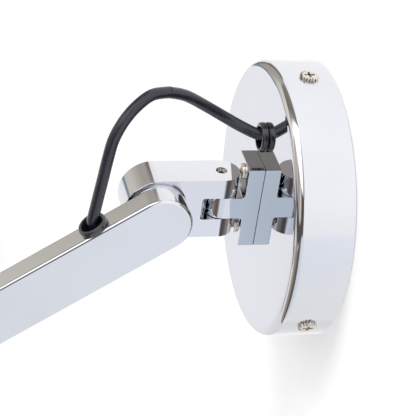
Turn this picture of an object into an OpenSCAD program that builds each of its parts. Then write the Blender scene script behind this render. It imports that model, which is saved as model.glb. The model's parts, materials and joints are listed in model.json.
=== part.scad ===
// Chrome wall lamp with two folding arms, a swivelling wall joint and a tilting head.
// The wall is the plane y = 0, the lamp reaches out along -Y, and +Z is up.

/* [Canopy] */
// Outer diameter of the canopy
canopy_d = 120; // [100:1:160]
// Distance from the wall to the flat face of the canopy
canopy_depth = 25; // [22:1:40]
// Thickness of the canopy's metal
canopy_wall = 1.5; // [1:0.25:2.5]
// Radius of the rounded front edge
canopy_edge_r = 4; // [3:0.5:8]
// Height of the cord hole above the middle of the canopy
cord_hole_up = 31; // [29:0.5:38]
// Distance from the wall to the screws in the rim
rim_screw_out = 10.5; // [8:0.5:12]
// Diameter of the serrated heads of the rim screws
rim_head_d = 8; // [7:0.5:10]
// Height of the serrated heads
rim_head_h = 1.4; // [1.4:0.2:3]
// Number of teeth round a serrated head
rim_head_teeth = 18; // [12:1:24]

/* [Wall plate] */
// Thickness of the wall plate
plate_t = 2; // [1.5:0.5:3]
// Distance between the middles of the two wall screw slots
slot_pitch = 70; // [60:1:76]
// Width of a wall screw slot
slot_w = 4.6; // [4:0.2:6]
// End to end length of a wall screw slot
slot_len = 14; // [8:1:18]
// Diameter of the hole that the supply cable comes through
supply_hole_d = 22; // [14:1:26]

/* [Swivel joint] */
// Width of the bracket and of the swivel block
block_w = 16.2; // [14.2:0.5:20.2]
// Height of the bracket's flange
flange_h = 39; // [36:0.5:50]
// Thickness of the bracket's flange
flange_t = 7.2; // [6:0.2:9]
// Height of the bracket's tongue
tongue_h = 10.4; // [8:0.2:12]
// Clearance between the bracket's screws and the ears of the swivel block
swivel_gap = 0.4; // [0.3:0.1:3]
// Diameter of the swivel pin
pin_d = 4.8; // [4:0.2:6]
// Height of the swivel block
block_h = 29; // [27:0.5:36]
// Distance from the canopy's face to the tilt axis
tilt_out = 45; // [44:0.5:60]
// Distance from the swivel pin back to the middle of the tongue's round end
tongue_back = 2; // [1:0.2:3]
// Distance of each bracket screw above or below the middle
bracket_screw_up = 14; // [13:0.5:16]

/* [Arms] */
// Height of an arm's section
arm_h = 26; // [22:0.5:28]
// Thickness of an arm
arm_t = 11.6; // [11.6:0.2:16]
// Radius of the arm's long edges
arm_edge_r = 1.5; // [0.8:0.1:1.8]
// Thickness of the arm's top, bottom and end walls
arm_wall = 2; // [1.8:0.1:2.6]
// Thickness of the arm's smooth front wall
arm_front = 1.8; // [1.4:0.2:2.4]
// Thickness of the cover on the arm's back
cover_t = 1.5; // [1:0.25:2]
// Distance between the joints of the inner arm
arm_1_len = 220; // [190:5:300]
// Distance between the joints of the outer arm
arm_2_len = 200; // [190:5:280]
// Angle of the inner arm above the horizontal
arm_1_up = -34.6; // [-36:0.2:-30]
// Angle of the outer arm above the horizontal
arm_2_up = 25; // [15:1:35]
// Distance along the inner arm from its joint to the cord's hole
arm_hole_out = 24.8; // [24:0.2:26]

/* [Head] */
// Distance from the head's joint down to the top of the shade
shade_drop = 42; // [40:1:60]
// Diameter of the shade's neck
neck_d = 46; // [46:1:52]
// Length of the shade's neck
neck_len = 50; // [44:1:60]
// Diameter of the shade's mouth
mouth_d = 120; // [100:1:140]
// Length of the shade
shade_len = 114; // [112:1:140]
// Thickness of the shade's metal
shade_wall = 1.2; // [1:0.1:2]
// Diameter of the lampholder
holder_d = 38; // [36:0.5:40]
// Diameter of the bulb's glass
bulb_d = 45; // [40:1:46]
// Overall length of the bulb
bulb_len = 75; // [75:1:80]
// Travel of the switch button
button_travel = 2; // [1:0.5:3]

/* [Cord] */
// Diameter of the cord
cord_d = 5; // [4:0.25:6]
// Diameter of the flange of a cord grommet
grommet_d = 12.8; // [12:0.2:15]
// Height of the flange of a cord grommet
grommet_h = 3; // [2:0.2:3.4]

/* [Hidden] */
$fn = 64;

// Clearances: a pin that turns, a fixed pin, parts that slide past each other, and loose seats
turn_gap = 0.05;
seat_gap = 0.02;
slide_gap = 0.15;
loose_gap = 0.3;
// Overrun of every cut
over = 1;

// Canopy
canopy_r = canopy_d / 2;
canopy_edge_in_r = canopy_edge_r - canopy_wall;
face_y = -canopy_depth;
rim_angles = [90, 210, 330];
tab_gap = 0.6;
tab_w = 12;
tab_past_screw = 6;
rim_screw_d = 4;
rim_screw_len = 9;
rim_thread_cut = 12;
recess_w = 1;
recess_depth = 1.2;
// A cross recess spans this share of its head
recess_share = 0.55;
tooth_depth = 0.35;

// Bracket, its screws and the plate behind them
bracket_screw_d = 4;
bracket_head_d = 6.8;
bracket_head_h = 1.3;
backing_w = 20;
backing_h = 44;
backing_t = 3;
inner_fillet_r = 1.2;
terminal_w = 24;
terminal_h = 20;
terminal_t = 10;
terminal_hole_d = 3.2;
terminal_hole_out = 8;
earth_d = 4;
earth_at = [-30, -24];
earth_head_d = 7.5;
earth_head_h = 2.4;

// Swivel joint: the block's end is a half round about its tilt axis but for a narrow flat
pin_out = flange_t + bracket_head_h + swivel_gap + block_w / 2;
pin_y = face_y - pin_out;
slot_room = 0.7;
slot_behind_pin = block_w / 2 + slot_room;
block_end_flat = 0.1;
block_end_r = block_h / 2 - block_end_flat;
pin_recess = 1.2;
pin_socket_d = 2.9;
pin_socket_depth = 2;
slot_h = tongue_h + 2 * slide_gap;
slot_corner_r = 1;
ear_middle_z = (block_h + slot_h) / 4;
tilt_y = face_y - tilt_out;
block_end_y = tilt_y - block_end_r;
grub_d = 3;
grub_socket_d = 1.7;
grub_socket_depth = 1.6;
grub_sunk = 0.5;

// Tilt, elbow and head bolts
shoulder_d = 8;
bolt_head_d = 13;
bolt_head_h = 4.2;
bolt_socket_d = 5.8;
bolt_socket_depth = 2.6;
bolt_thread_d = 6;
washer_t = 1;
washer_d = 13.6;
counterbore_d = 14.6;
counterbore_depth = 6.4;
spacer_gap = 1;
spacer_d = 22;
running = 0.1;
boss_d = 16;

// Arms: each is built lying flat, its front face down at height 0 and its first joint at the origin
arm_r = arm_h / 2;
arm_1_back_x = block_w / 2 + spacer_gap;
arm_1_front_x = arm_1_back_x + arm_t;
arm_2_back_x = arm_1_front_x + spacer_gap;
arm_2_front_x = arm_2_back_x + arm_t;
cover_z = arm_t - cover_t;
elbow_y = tilt_y - arm_1_len * cos(arm_1_up);
elbow_z = arm_1_len * sin(arm_1_up);
head_y = elbow_y - arm_2_len * cos(arm_2_up);
head_z = elbow_z + arm_2_len * sin(arm_2_up);
elbow_boss_h = 2.8;
cover_screw_d = 2.5;
cover_head_d = 4.8;
cover_screw_len = 7;
pillar_d = 6;
// The cover's screws stand at these shares of the arm's length
cover_screw_shares = [0.3, 0.72];
grommet_edge_r = 0.87;
grommet_neck_d = 9.8;
grommet_hole_d = 10;
grommet_bore_d = 9.6;
grommet_bore_in_d = 8.5;
clamp_out = 44;
clamp_len = 10;
clamp_w = 13;
clamp_low = -4;
clamp_h = 6.6;

// Head
head_x = arm_1_front_x - block_w / 2;
knuckle_drop = 24;
sleeve_d = 16;
tube_d = 10;
tube_bore_d = 7;
tube_in_knuckle = 10;
tube_nut_w = 17;
tube_nut_h = 5;
holder_below_top = 16;
holder_len = 42;
holder_bore_d = 27.4;
holder_floor = 8;
holder_dome_r = 6;
tube_in_holder = 6;
cap_d = 26.4;
cap_len = 26;
cap_rib_r = 0.8;
cap_ribs = 6;
contact_d = 9;
contact_h = 1;
tip_h = 2;
tip_d = 13.2;
shade_shoulder_r = 5;
shoulder_step = 15;
flare_steps = 16;
lip_r = 1.4;
// The lip runs between these angles round its middle
lip_from = 105;
lip_to = -195;
lip_step = 20;
glass_neck_d = 24;
button_d = 6;
button_up = 4.5;
button_edge_r = 1;
button_off = 14;
button_gap = 0.2;
switch_d = 8;
switch_len = 12.5;

// The route of the cord from the terminal block, over its arch to just above the inner arm
cord_outside = [
    [0, -12, 31], [0, -19, 31], [-0.5, -25, 31.5], [-2, -29.5, 32], [-4.5, -35.5, 34], [-6, -42.5, 37.5],
    [-5.5, -52, 43.5], [-4, -61, 49], [-1.5, -69, 52], [1.5, -76.5, 52.5], [5, -83, 49.5], [8.5, -88.5, 44.5],
    [11, -92.5, 37.5], [13, -94.5, 30], [14, -96, 20.5], [14.5, -97.5, 10]
];
// Its way on through the arm's grommet to the clamp: along the arm from its joint, and up from its middle
cord_inside = [
    [23.5, 16.6], [24.2, 14.6], [25, 12.6], [25.8, 10.6], [27.2, 8.2], [29.8, 5.6], [33, 3.6], [37.5, 2.8],
    [43.6, 2.5]
];
cord_parting = 8;
cord_sides = 10;
// The cord's sections are built from its direction and this one
side_axis = [1, 0, 0];

function in_arm(p) = [
    arm_1_front_x - arm_t / 2,
    tilt_y - p[0] * cos(arm_1_up) + p[1] * sin(arm_1_up),
    p[0] * sin(arm_1_up) + p[1] * cos(arm_1_up)
];
cord_route = concat(cord_outside, [for (p = cord_inside) in_arm(p)]);

function ends_at(list) = len(list) - 1;
function direction(v) = v / norm(v);
function along(route, i) = direction(route[min(i + 1, ends_at(route))] - route[max(i - 1, 0)]);
function ring(route, i) =
    let (t = along(route, i), side = direction(cross(t, side_axis)), up = cross(side, t))
    [for (k = [0 : cord_sides - 1])
        route[i] + cord_d / 2 * (side * cos(360 * k / cord_sides) + up * sin(360 * k / cord_sides))];

// Tube along the route from point a to point b
module tube_along(route, a, b) {
    n = cord_sides;
    rings = [for (i = [a : b]) each ring(route, i)];
    steps = b - a;
    sides = [for (i = [0 : steps - 1], k = [0 : n - 1]) each [
        [i * n + k, (i + 1) * n + (k + 1) % n, i * n + (k + 1) % n],
        [i * n + k, (i + 1) * n + k, (i + 1) * n + (k + 1) % n]]];
    first = [for (k = [0 : n - 1]) k];
    last = [for (k = [n - 1 : -1 : 0]) steps * n + k];
    polyhedron(points = rings, faces = concat(sides, [first, last]));
}

// Puts what is drawn in the plane of the wall, with height meaning distance from the wall, in place
module from_wall() {
    rotate([90, 0, 0]) children();
}

// Radial place on the canopy's rim, with height meaning distance outwards from the rim
module at_rim(angle) {
    from_wall() rotate([0, 0, angle]) translate([canopy_r, 0, rim_screw_out]) rotate([0, 90, 0]) children();
}

// Places along X at a joint of the arms
module at_joint(x, y, z) {
    translate([x, y, z]) rotate([0, 90, 0]) children();
}

// Places an arm that was drawn flat: its joint at y, z and its front face at x
module as_arm(x, y, z, up) {
    translate([x, y, z]) rotate([-up, 0, 0]) rotate([90, 0, -90]) children();
}

module in_head() {
    translate([head_x, head_y, head_z]) children();
}

// Rectangle with round corners, its lower left corner at the origin
module soft_rect(w, h, r) {
    translate([r, 0]) square([w - 2 * r, h]);
    translate([0, r]) square([w, h - 2 * r]);
    for (x = [r, w - r], y = [r, h - r]) translate([x, y]) circle(r);
}

module stadium(length, r) {
    circle(r);
    translate([length, 0]) circle(r);
    translate([0, -r]) square([length, 2 * r]);
}

module cross_recess(head_d, top) {
    reach = head_d * recess_share;
    for (turn = [0, 90])
        rotate([0, 0, turn])
            translate([-reach / 2, -recess_w / 2, top - recess_depth])
                cube([reach, recess_w, recess_depth + over]);
}

// Screw with a rounded head on a plane at height 0 and its shank below
module pan_screw(d, length, head_d, head_h) {
    edge = head_h / 2;
    difference() {
        union() {
            translate([0, 0, -length]) cylinder(d = d, h = length);
            rotate_extrude() {
                square([head_d / 2 - edge, head_h]);
                square([head_d / 2, head_h - edge]);
                intersection() {
                    translate([head_d / 2 - edge, head_h - edge]) circle(edge);
                    square([head_d / 2, head_h]);
                }
            }
        }
        cross_recess(head_d, head_h);
    }
}

// Countersunk screw with its flat top at height 0
module sunk_screw(d, length, head_d) {
    sink = (head_d - d) / 2;
    difference() {
        union() {
            translate([0, 0, -length]) cylinder(d = d, h = length);
            translate([0, 0, -sink]) cylinder(d1 = d, d2 = head_d, h = sink);
        }
        cross_recess(head_d, 0);
    }
}

module hex_socket(d, depth) {
    translate([0, 0, -depth]) cylinder(d = d, h = depth + over, $fn = 6);
}

// Shoulder bolt along +Z, the underside of its head at height 0
module shoulder_bolt(shoulder_len, thread_len) {
    difference() {
        union() {
            translate([0, 0, -bolt_head_h]) cylinder(d = bolt_head_d, h = bolt_head_h);
            cylinder(d = shoulder_d, h = shoulder_len);
            translate([0, 0, shoulder_len]) cylinder(d = bolt_thread_d, h = thread_len);
        }
        translate([0, 0, -bolt_head_h]) mirror([0, 0, 1]) hex_socket(bolt_socket_d, bolt_socket_depth);
    }
}

module disc_with_hole(d, hole_d, h) {
    difference() {
        cylinder(d = d, h = h);
        translate([0, 0, -over]) cylinder(d = hole_d, h = h + 2 * over);
    }
}

// Rubber ring in a wall: its flange stands on the wall at height 0 and its neck fills the hole
module grommet(wall) {
    bore_in_r = grommet_bore_in_d / 2;
    bore_r = grommet_bore_d / 2;
    edge_in = grommet_d / 2 - grommet_edge_r;
    rotate_extrude() difference() {
        union() {
            translate([0, -wall]) square([grommet_neck_d / 2, wall + grommet_h]);
            square([edge_in, grommet_h]);
            square([grommet_d / 2, grommet_h - grommet_edge_r]);
            translate([edge_in, grommet_h - grommet_edge_r]) circle(grommet_edge_r);
        }
        polygon([
            [0, -wall - over], [bore_in_r, -wall - over], [bore_in_r, -wall], [bore_r, grommet_h],
            [bore_r, grommet_h + over], [0, grommet_h + over]
        ]);
    }
}

module canopy_profile(r, depth, edge) {
    square([r - edge, depth]);
    square([r, depth - edge]);
    translate([r - edge, depth - edge]) circle(edge);
}

module canopy_cover() {
    color([0.9, 0.91, 0.93])
    difference() {
        from_wall() difference() {
            rotate_extrude() difference() {
                canopy_profile(canopy_r, canopy_depth, canopy_edge_r);
                translate([0, -over])
                    canopy_profile(canopy_r - canopy_wall, canopy_depth - canopy_wall + over,
                        canopy_edge_in_r);
            }
            for (up = [-bracket_screw_up, bracket_screw_up])
                translate([0, up, 0]) cylinder(d = bracket_screw_d + 2 * loose_gap, h = canopy_depth + over);
            translate([0, cord_hole_up, 0]) cylinder(d = grommet_hole_d, h = canopy_depth + over);
        }
        for (a = rim_angles)
            at_rim(a) translate([0, 0, -canopy_wall - over])
                cylinder(d = rim_screw_d + 2 * loose_gap, h = canopy_wall + 2 * over);
    }
}

// Disc with three bent tabs that the rim screws hold
module wall_plate() {
    plate_r = canopy_r - canopy_wall - tab_gap;
    tab_h = rim_screw_out + tab_past_screw;
    color([0.72, 0.73, 0.74])
    difference() {
        from_wall() difference() {
            union() {
                cylinder(r = plate_r, h = plate_t);
                for (a = rim_angles)
                    rotate([0, 0, a]) translate([plate_r - plate_t - tab_gap, -tab_w / 2, 0])
                        cube([plate_t, tab_w, tab_h]);
            }
            translate([0, 0, -over]) cylinder(d = supply_hole_d, h = plate_t + 2 * over);
            for (side = [-1, 1])
                translate([side * slot_pitch / 2 - (slot_len - slot_w) / 2, 0, -over])
                    linear_extrude(plate_t + 2 * over) stadium(slot_len - slot_w, slot_w / 2);
            translate([earth_at[0], earth_at[1], -over])
                cylinder(d = earth_d + 2 * seat_gap, h = plate_t + 2 * over);
        }
        for (a = rim_angles)
            at_rim(a) translate([0, 0, -rim_thread_cut])
                cylinder(d = rim_screw_d + 2 * seat_gap, h = rim_thread_cut);
    }
}

// Three screws with serrated heads, one at the top of the rim
module canopy_screws() {
    color([0.86, 0.85, 0.82])
    for (a = rim_angles) at_rim(a) difference() {
        union() {
            translate([0, 0, -rim_screw_len]) cylinder(d = rim_screw_d, h = rim_screw_len);
            linear_extrude(rim_head_h) polygon([for (k = [0 : 2 * rim_head_teeth - 1])
                let (r = rim_head_d / 2 - tooth_depth * (k % 2), at = 180 * k / rim_head_teeth)
                r * [cos(at), sin(at)]]);
        }
        cross_recess(rim_head_d, rim_head_h);
    }
}

// Steel strip inside the canopy that the bracket's screws are threaded into
module backing_plate() {
    color([0.6, 0.62, 0.64])
    from_wall() difference() {
        translate([-backing_w / 2, -backing_h / 2, canopy_depth - canopy_wall - backing_t])
            cube([backing_w, backing_h, backing_t]);
        for (up = [-bracket_screw_up, bracket_screw_up])
            translate([0, up, 0]) cylinder(d = bracket_screw_d + 2 * seat_gap, h = canopy_depth);
    }
}

module terminal_block() {
    color([0.93, 0.92, 0.88])
    from_wall() difference() {
        translate([-terminal_w / 2, cord_hole_up - terminal_h / 2, plate_t])
            cube([terminal_w, terminal_h, terminal_t]);
        for (x = [-1, 1])
            translate([x * terminal_hole_out, cord_hole_up, plate_t + terminal_t / 2])
                cylinder(d = terminal_hole_d, h = terminal_t);
    }
}

module earth_screw() {
    color([0.8, 0.68, 0.35])
    from_wall() translate([earth_at[0], earth_at[1], plate_t])
        pan_screw(earth_d, plate_t, earth_head_d, earth_head_h);
}

module canopy_grommet() {
    color([0.09, 0.09, 0.1])
    from_wall() translate([0, cord_hole_up, canopy_depth]) grommet(canopy_wall);
}

// Flange on the canopy's face with a tongue that the swivel block turns on
module swivel_bracket() {
    front_y = face_y - flange_t;
    tongue_end_y = pin_y + tongue_back;
    color([0.78, 0.8, 0.84])
    difference() {
        union() {
            translate([-block_w / 2, front_y, -flange_h / 2]) cube([block_w, flange_t, flange_h]);
            translate([0, 0, -tongue_h / 2]) linear_extrude(tongue_h) {
                translate([0, tongue_end_y]) circle(block_w / 2);
                translate([-block_w / 2, tongue_end_y]) square([block_w, front_y - tongue_end_y]);
            }
            for (side = [0, 1]) mirror([0, 0, side])
                translate([-block_w / 2, front_y, tongue_h / 2]) rotate([90, 0, 90]) linear_extrude(block_w)
                    difference() {
                        translate([-inner_fillet_r, 0]) square(inner_fillet_r);
                        translate([-inner_fillet_r, inner_fillet_r]) circle(inner_fillet_r);
                    }
        }
        translate([0, pin_y, -tongue_h]) cylinder(d = pin_d + 2 * turn_gap, h = 2 * tongue_h);
        for (up = [-bracket_screw_up, bracket_screw_up])
            from_wall() translate([0, up, canopy_depth - over])
                cylinder(d = bracket_screw_d + 2 * turn_gap, h = flange_t + 2 * over);
    }
}

module bracket_screws() {
    color([0.84, 0.82, 0.78])
    for (up = [-bracket_screw_up, bracket_screw_up])
        from_wall() translate([0, up, canopy_depth + flange_t])
            pan_screw(bracket_screw_d, flange_t + canopy_wall + backing_t, bracket_head_d, bracket_head_h);
}

// Forked block: two ears on the swivel pin, and a round end that carries the arm
module swivel_block() {
    slot_end_y = pin_y - slot_behind_pin;
    color([0.88, 0.89, 0.91])
    difference() {
        intersection() {
            translate([0, 0, -block_h / 2]) linear_extrude(block_h) {
                translate([0, pin_y]) circle(block_w / 2);
                translate([-block_w / 2, block_end_y]) square([block_w, pin_y - block_end_y]);
            }
            translate([-block_w / 2, block_end_y, -block_h / 2]) rotate([90, 0, 90]) linear_extrude(block_w)
                soft_rect(block_w + pin_y - block_end_y + block_end_r, block_h, block_end_r);
        }
        translate([-block_w, slot_end_y, -slot_h / 2]) rotate([90, 0, 90]) linear_extrude(2 * block_w)
            soft_rect(slot_behind_pin + block_w, slot_h, slot_corner_r);
        translate([0, pin_y, -block_h]) cylinder(d = pin_d + 2 * seat_gap, h = 2 * block_h);
        at_joint(-block_w, tilt_y, 0) cylinder(d = shoulder_d + 2 * turn_gap, h = 2 * block_w);
        at_joint(-block_w / 2 - over, tilt_y, 0) cylinder(d = counterbore_d, h = counterbore_depth + over);
        at_joint(-block_w, pin_y, ear_middle_z) cylinder(d = grub_d + 2 * seat_gap, h = block_w);
    }
}

module swivel_pin() {
    pin_len = block_h - 2 * pin_recess;
    color([0.5, 0.45, 0.4])
    difference() {
        translate([0, pin_y, -pin_len / 2]) cylinder(d = pin_d, h = pin_len);
        translate([0, pin_y, pin_len / 2]) hex_socket(pin_socket_d, pin_socket_depth);
    }
}

// Headless screw that holds the pin in the block's upper ear
module pin_grub_screw() {
    grub_len = (block_w - pin_d) / 2 - grub_sunk;
    color([0.3, 0.3, 0.32])
    at_joint(-pin_d / 2 - seat_gap, pin_y, ear_middle_z) mirror([0, 0, 1]) difference() {
        cylinder(d = grub_d, h = grub_len);
        translate([0, 0, grub_len]) hex_socket(grub_socket_d, grub_socket_depth);
    }
}

module tilt_spacer() {
    color([0.15, 0.15, 0.16])
    at_joint(block_w / 2, tilt_y, 0)
        disc_with_hole(spacer_d, shoulder_d + 4 * turn_gap, spacer_gap - running);
}

module tilt_washer() {
    color([0.55, 0.56, 0.58])
    at_joint(-block_w / 2 + counterbore_depth - running - washer_t, tilt_y, 0)
        disc_with_hole(washer_d, shoulder_d + 2 * loose_gap, washer_t);
}

module tilt_bolt() {
    head_x_in = -block_w / 2 + counterbore_depth - running - washer_t;
    color([0.62, 0.63, 0.65])
    at_joint(head_x_in, tilt_y, 0)
        shoulder_bolt(arm_1_back_x + cover_t - head_x_in, cover_z - arm_front - over);
}

// Solid bar with round ends and rounded long edges, lying flat on height 0
module soft_bar(length) {
    rotate([90, 0, 90]) linear_extrude(length) translate([-arm_r, 0]) soft_rect(arm_h, arm_t, arm_edge_r);
    for (x = [0, length]) translate([x, 0, 0]) rotate_extrude() {
        square([arm_r - arm_edge_r, arm_t]);
        translate([0, arm_edge_r]) square([arm_r, arm_t - 2 * arm_edge_r]);
        for (z = [arm_edge_r, arm_t - arm_edge_r]) translate([arm_r - arm_edge_r, z]) circle(arm_edge_r);
    }
}

// Open tray of an arm, with a threaded boss on its first joint and pillars for the cover's screws
module arm_tray(length) {
    difference() {
        soft_bar(length);
        translate([0, 0, arm_front]) linear_extrude(arm_t) stadium(length, arm_r - arm_wall);
    }
    difference() {
        cylinder(d = boss_d, h = cover_z);
        translate([0, 0, arm_front]) cylinder(d = bolt_thread_d + 2 * seat_gap, h = arm_t);
    }
    for (share = cover_screw_shares) translate([length * share, 0, arm_front - over / 2]) difference() {
        cylinder(d = pillar_d, h = cover_z - arm_front + over / 2);
        cylinder(d = cover_screw_d + 2 * seat_gap, h = arm_t);
    }
}

// Plate that closes an arm's back, with countersunk holes for its screws
module arm_lid(length) {
    sink = (cover_head_d - cover_screw_d) / 2;
    difference() {
        translate([0, 0, cover_z]) linear_extrude(cover_t) stadium(length, arm_r - arm_wall - slide_gap);
        translate([0, 0, cover_z - over]) cylinder(d = shoulder_d + 4 * turn_gap, h = cover_t + 2 * over);
        for (share = cover_screw_shares) translate([length * share, 0, arm_t]) {
            translate([0, 0, -arm_t]) cylinder(d = cover_screw_d + 2 * slide_gap, h = arm_t);
            translate([0, 0, -sink - seat_gap])
                cylinder(d1 = cover_screw_d, d2 = cover_head_d + 2 * seat_gap, h = sink + 2 * seat_gap);
        }
    }
}

module lid_screws(length) {
    for (share = cover_screw_shares) translate([length * share, 0, arm_t])
        sunk_screw(cover_screw_d, cover_screw_len, cover_head_d);
}

module arm_1_body() {
    color([0.86, 0.87, 0.9])
    as_arm(arm_1_front_x, tilt_y, 0, arm_1_up) difference() {
        union() {
            arm_tray(arm_1_len);
            translate([arm_1_len, 0, 0]) cylinder(d = boss_d, h = arm_front + elbow_boss_h);
        }
        translate([arm_1_len, 0, -over]) cylinder(d = shoulder_d + 2 * turn_gap, h = arm_t);
        translate([arm_hole_out, arm_r - arm_wall - over, arm_t / 2]) rotate([-90, 0, 0])
            cylinder(d = grommet_hole_d, h = arm_wall + 2 * over);
    }
}

module arm_1_cover() {
    color([0.82, 0.83, 0.86])
    as_arm(arm_1_front_x, tilt_y, 0, arm_1_up) arm_lid(arm_1_len);
}

module arm_1_screws() {
    color([0.6, 0.6, 0.62])
    as_arm(arm_1_front_x, tilt_y, 0, arm_1_up) lid_screws(arm_1_len);
}

module arm_1_grommet() {
    color([0.09, 0.09, 0.1])
    as_arm(arm_1_front_x, tilt_y, 0, arm_1_up)
        translate([arm_hole_out, arm_r, arm_t / 2]) rotate([-90, 0, 0]) grommet(arm_wall);
}

// Block inside the inner arm that grips the end of the cord
module arm_1_clamp() {
    color([0.9, 0.9, 0.86])
    as_arm(arm_1_front_x, tilt_y, 0, arm_1_up)
        translate([clamp_out, clamp_low, arm_front]) cube([clamp_len, clamp_w, clamp_h]);
}

module elbow_bolt() {
    under_head = arm_front + elbow_boss_h + washer_t + running;
    color([0.62, 0.63, 0.65])
    at_joint(arm_1_front_x - under_head, elbow_y, elbow_z)
        shoulder_bolt(under_head + spacer_gap + cover_t, cover_z - arm_front - over);
}

module elbow_washer() {
    color([0.55, 0.56, 0.58])
    at_joint(arm_1_front_x - arm_front - elbow_boss_h - washer_t, elbow_y, elbow_z)
        disc_with_hole(washer_d, shoulder_d + 2 * loose_gap, washer_t);
}

module elbow_spacer() {
    color([0.15, 0.15, 0.16])
    at_joint(arm_1_front_x, elbow_y, elbow_z)
        disc_with_hole(spacer_d, shoulder_d + 4 * turn_gap, spacer_gap - running);
}

module arm_2_body() {
    color([0.86, 0.87, 0.9])
    as_arm(arm_2_front_x, elbow_y, elbow_z, arm_2_up) {
        arm_tray(arm_2_len);
        translate([arm_2_len, 0, 0]) difference() {
            cylinder(d = boss_d, h = cover_z);
            translate([0, 0, arm_front]) cylinder(d = bolt_thread_d + 2 * seat_gap, h = arm_t);
        }
    }
}

module arm_2_cover() {
    color([0.82, 0.83, 0.86])
    as_arm(arm_2_front_x, elbow_y, elbow_z, arm_2_up) difference() {
        arm_lid(arm_2_len);
        translate([arm_2_len, 0, cover_z - over])
            cylinder(d = shoulder_d + 4 * turn_gap, h = cover_t + 2 * over);
    }
}

module arm_2_screws() {
    color([0.6, 0.6, 0.62])
    as_arm(arm_2_front_x, elbow_y, elbow_z, arm_2_up) lid_screws(arm_2_len);
}

module head_bolt() {
    head_x_in = head_x - block_w / 2 + counterbore_depth - running - washer_t;
    color([0.62, 0.63, 0.65])
    at_joint(head_x_in, head_y, head_z)
        shoulder_bolt(arm_2_back_x + cover_t - head_x_in, cover_z - arm_front - over);
}

module head_washer() {
    color([0.55, 0.56, 0.58])
    at_joint(head_x - block_w / 2 + counterbore_depth - running - washer_t, head_y, head_z)
        disc_with_hole(washer_d, shoulder_d + 2 * loose_gap, washer_t);
}

module head_spacer() {
    color([0.15, 0.15, 0.16])
    at_joint(head_x + block_w / 2 + running, head_y, head_z)
        disc_with_hole(spacer_d, shoulder_d + 4 * turn_gap, spacer_gap - running);
}

// Block that hangs the head on the outer arm
module head_knuckle() {
    color([0.88, 0.89, 0.91])
    in_head() difference() {
        translate([-block_w / 2, 0, 0]) rotate([90, 0, 90]) linear_extrude(block_w) {
            circle(arm_r);
            translate([-arm_r, -knuckle_drop]) square([arm_h, knuckle_drop]);
        }
        at_joint(-block_w, 0, 0) cylinder(d = shoulder_d + 2 * turn_gap, h = 2 * block_w);
        at_joint(-block_w / 2 - over, 0, 0) cylinder(d = counterbore_d, h = counterbore_depth + over);
        translate([0, 0, -knuckle_drop - over])
            cylinder(d = tube_d + 2 * seat_gap, h = tube_in_knuckle + over);
    }
}

module neck_sleeve() {
    color([0.86, 0.87, 0.9])
    in_head() translate([0, 0, -shade_drop])
        disc_with_hole(sleeve_d, tube_d + 2 * slide_gap, shade_drop - knuckle_drop);
}

// Threaded lamp tube that joins the knuckle, the shade and the lampholder
module head_tube() {
    top = -knuckle_drop + tube_in_knuckle;
    low = -shade_drop - holder_below_top - tube_in_holder;
    color([0.75, 0.72, 0.6])
    in_head() translate([0, 0, low]) disc_with_hole(tube_d, tube_bore_d, top - low);
}

module tube_nut() {
    color([0.75, 0.72, 0.6])
    in_head() translate([0, 0, -shade_drop - shade_wall - tube_nut_h]) difference() {
        cylinder(d = tube_nut_w / cos(30), h = tube_nut_h, $fn = 6);
        translate([0, 0, -over]) cylinder(d = tube_d + 2 * seat_gap, h = tube_nut_h + 2 * over);
    }
}

module lampholder() {
    r = holder_d / 2;
    color([0.93, 0.92, 0.9])
    in_head() translate([0, 0, -shade_drop - holder_below_top - holder_len]) difference() {
        rotate_extrude() {
            square([r, holder_len - holder_dome_r]);
            square([r - holder_dome_r, holder_len]);
            translate([r - holder_dome_r, holder_len - holder_dome_r]) intersection() {
                circle(holder_dome_r);
                square(holder_dome_r);
            }
        }
        translate([0, 0, -over]) cylinder(d = holder_bore_d, h = holder_len - holder_floor + over);
        translate([0, 0, holder_len - tube_in_holder])
            cylinder(d = tube_d + 2 * seat_gap, h = tube_in_holder + over);
    }
}

module holder_contact() {
    floor_z = -shade_drop - holder_below_top - holder_floor;
    color([0.8, 0.66, 0.3])
    in_head() translate([0, 0, floor_z - contact_h]) cylinder(d = contact_d, h = contact_h);
}

// Smooth curve from the neck nearly to the mouth of the shade
function flare(from_r, to_r, from_z, to_z) =
    [for (k = [0 : flare_steps - 1]) let (s = k / flare_steps)
        [from_r + (to_r - from_r) * s * s * (3 - s) / 2, from_z + (to_z - from_z) * s]];

// One side of the shade's wall, from the middle of its top to its mouth
function shade_side(neck_r, mouth_r, top, low, shoulder_r) =
    concat(
        [[0, top]],
        [for (a = [90 : -shoulder_step : 0])
            [neck_r + shoulder_r * (cos(a) - 1), top + shoulder_r * (sin(a) - 1)]],
        flare(neck_r, mouth_r, -shade_drop - neck_len, low));

// Rolled lip of the shade, round the middle of its wall
function lip(x, z) =
    [for (a = [lip_from : -lip_step : lip_to]) [x + lip_r * cos(a), z + lip_r * sin(a)]];

function backwards(list) = [for (i = [ends_at(list) : -1 : 0]) list[i]];

// Spun shade with a rolled lip
module shade() {
    top = -shade_drop;
    low = -shade_drop - shade_len + lip_r;
    neck_r = neck_d / 2;
    mouth_r = (mouth_d + shade_wall) / 2 - lip_r;
    color([0.88, 0.89, 0.92])
    in_head() difference() {
        rotate_extrude() polygon(concat(
            shade_side(neck_r, mouth_r, top, low, shade_shoulder_r),
            lip(mouth_r - shade_wall / 2, low),
            backwards(shade_side(neck_r - shade_wall, mouth_r - shade_wall, top - shade_wall, low,
                shade_shoulder_r - shade_wall))));
        translate([0, 0, top - shade_wall - over])
            cylinder(d = tube_d + 2 * slide_gap, h = shade_wall + 2 * over);
        translate([0, -button_off, top - shade_wall - over])
            cylinder(d = button_d + 2 * button_gap, h = shade_wall + 2 * over);
    }
}

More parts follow.
